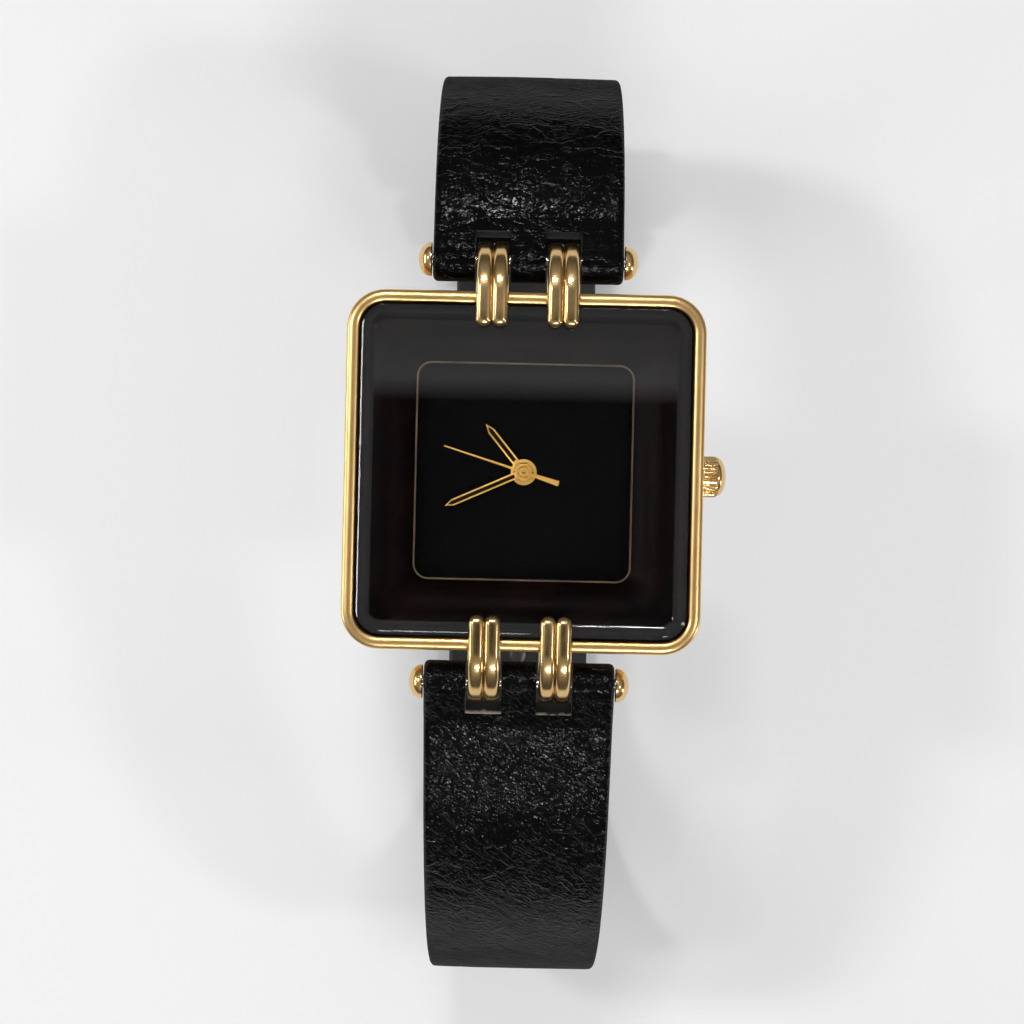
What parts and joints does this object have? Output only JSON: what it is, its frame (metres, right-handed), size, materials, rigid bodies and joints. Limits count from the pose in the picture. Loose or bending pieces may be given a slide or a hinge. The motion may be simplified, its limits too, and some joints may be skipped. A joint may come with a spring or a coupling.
{
  "type": "square watch",
  "caption": "Square wristwatch with a gold-coloured case, raised black crystal, double-ribbed hoop lugs, knurled crown and a creased black leather strap that curls under the head.",
  "frame": {"origin": "middle of the outer face of the case back", "axes": "+X towards the crown, +Y towards 12 o'clock, +Z out of the dial"},
  "size_m": [0.0282, 0.0708, 0.05],
  "materials": {
    "polished_gold": "polished gold plating",
    "gilt_line": "printed gilt",
    "hand_gold": "polished",
    "hand_black": "gloss",
    "movement_brass": "satin",
    "steel": "brushed",
    "cell": "plated",
    "copper_wire": "enamelled copper wire",
    "board": "matte",
    "holder_plastic": "matte",
    "crystal_glass": "clear",
    "black_print": "gloss",
    "dial_black": "satin black",
    "black_leather": "creased gloss",
    "seal_rubber": "matte"
  },
  "bodies": {
    "head": {"back_gasket": "seal_rubber", "battery": "cell", "battery_clamp": "steel", "bezel": "polished_gold", "case_back": "steel", "case_middle": "polished_gold", "case_screws": "steel", "circuit_board": "board", "coil": "copper_wire", "coil_core": "steel", "crown_tube": "steel", "crystal": "crystal_glass", "crystal_gasket": "seal_rubber", "crystal_mask": "black_print", "dial": "dial_black", "lower_bar": "steel", "lower_bar_caps": "polished_gold", "lug_lower_left": "polished_gold", "lug_lower_right": "polished_gold", "lug_screws": "steel", "lug_upper_left": "polished_gold", "lug_upper_right": "polished_gold", "main_plate": "movement_brass", "movement_holder": "holder_plastic", "movement_screws": "steel", "quartz_can": "cell", "stator": "steel", "train_bridge": "movement_brass", "upper_bar": "steel", "upper_bar_caps": "polished_gold", "window_line": "gilt_line"},
    "seconds": {"fourth_wheel": "movement_brass", "second_hand": "hand_gold"},
    "rotor": {"rotor": "steel"},
    "fifth": {"fifth_wheel": "movement_brass"},
    "third": {"third_wheel": "movement_brass"},
    "minutes": {"centre_wheel": "movement_brass", "minute_hand": "hand_gold", "minute_hand_fill": "hand_black"},
    "minute_work": {"minute_wheel": "movement_brass"},
    "hours": {"hour_wheel": "movement_brass", "hour_hand": "hand_gold", "hour_hand_fill": "hand_black"},
    "setting": {"setting_wheel": "movement_brass"},
    "crown_slide": {"crown_gasket": "seal_rubber"},
    "crown_turn": {"crown": "polished_gold", "stem": "steel"},
    "yoke": {"yoke": "steel"},
    "clutch": {"clutch": "steel"},
    "lever": {"setting_lever": "steel"},
    "upper_half": {"strap_upper": "black_leather", "fixed_keeper": "black_leather", "buckle_bar": "steel"},
    "lower_half": {"strap_lower": "black_leather"},
    "keeper": {"free_keeper": "black_leather"},
    "buckle": {"buckle_frame": "polished_gold"},
    "tongue": {"buckle_tongue": "polished_gold"}
  },
  "joints": [
    {"name": "second_turn", "type": "hinge", "parent": "head", "child": "seconds", "pos_m": [0, 0, 0], "axis": [0, 0, 1], "continuous": true},
    {"name": "rotor_turn", "type": "hinge", "parent": "head", "child": "rotor", "pos_m": [-0.00219, 0.0027, 0], "axis": [0, 0, 1], "continuous": true},
    {"name": "fifth_turn", "type": "hinge", "parent": "head", "child": "fifth", "pos_m": [-0.00191, 0.0011, 0], "axis": [0, 0, 1], "continuous": true},
    {"name": "third_turn", "type": "hinge", "parent": "head", "child": "third", "pos_m": [0.0011, 0.00191, 0], "axis": [0, 0, 1], "continuous": true},
    {"name": "minute_turn", "type": "hinge", "parent": "head", "child": "minutes", "pos_m": [0, 0, 0], "axis": [0, 0, 1], "continuous": true},
    {"name": "minute_wheel_turn", "type": "hinge", "parent": "head", "child": "minute_work", "pos_m": [0.0024, 0, 0], "axis": [0, 0, 1], "continuous": true},
    {"name": "hour_turn", "type": "hinge", "parent": "head", "child": "hours", "pos_m": [0, 0, 0], "axis": [0, 0, 1], "continuous": true},
    {"name": "setting_turn", "type": "hinge", "parent": "head", "child": "setting", "pos_m": [0.0055, 0, 0], "axis": [0, 0, 1], "continuous": true},
    {"name": "crown_pull", "type": "slide", "parent": "head", "child": "crown_slide", "axis": [1, 0, 0], "range_m": [0, 0.0006]},
    {"name": "crown_turn", "type": "hinge", "parent": "crown_slide", "child": "crown_turn", "pos_m": [0.0125, 0, 0.00235], "axis": [1, 0, 0], "continuous": true},
    {"name": "yoke_slide", "type": "slide", "parent": "head", "child": "yoke", "axis": [1, 0, 0], "range_m": [-0.00035, 0]},
    {"name": "clutch_turn", "type": "hinge", "parent": "yoke", "child": "clutch", "pos_m": [0.00745, 0, 0.00235], "axis": [1, 0, 0], "continuous": true},
    {"name": "lever_turn", "type": "hinge", "parent": "head", "child": "lever", "pos_m": [0.00835, -0.00215, 0.00235], "axis": [0, 0, -1], "range_deg": [0, 18.42]},
    {"name": "upper_strap_swing", "type": "hinge", "parent": "head", "child": "upper_half", "pos_m": [0, 0.01555, 0.004], "axis": [1, 0, 0], "range_deg": [0, 45]},
    {"name": "lower_strap_swing", "type": "hinge", "parent": "head", "child": "lower_half", "pos_m": [0, -0.01555, 0.004], "axis": [-1, 0, 0], "range_deg": [0, 60]},
    {"name": "keeper_slide", "type": "hinge", "parent": "upper_half", "child": "keeper", "pos_m": [0, 0.00991, -0.02144], "axis": [1, 0, 0], "range_deg": [-5, 12]},
    {"name": "buckle_swing", "type": "hinge", "parent": "upper_half", "child": "buckle", "pos_m": [0, 0.0088, -0.04144], "axis": [1, 0, 0], "range_deg": [-60, 60]},
    {"name": "tongue_swing", "type": "hinge", "parent": "buckle", "child": "tongue", "pos_m": [0, 0.0088, -0.04144], "axis": [1, 0, 0], "range_deg": [0, 70]}
  ],
  "couplings": [
    {"joint": "rotor_turn", "follows": "second_turn", "ratio": 30},
    {"joint": "fifth_turn", "follows": "second_turn", "ratio": -6},
    {"joint": "third_turn", "follows": "second_turn", "ratio": -0.13333},
    {"joint": "minute_turn", "follows": "second_turn", "ratio": 0.016667},
    {"joint": "minute_wheel_turn", "follows": "second_turn", "ratio": -0.0055556},
    {"joint": "hour_turn", "follows": "second_turn", "ratio": 0.0013889},
    {"joint": "setting_turn", "follows": "second_turn", "ratio": 0.0076923},
    {"joint": "yoke_slide", "follows": "crown_pull", "ratio": -0.58333},
    {"joint": "lever_turn", "follows": "crown_pull", "rad_per_m": 535.8},
    {"joint": "clutch_turn", "follows": "crown_turn", "ratio": 1}
  ]
}
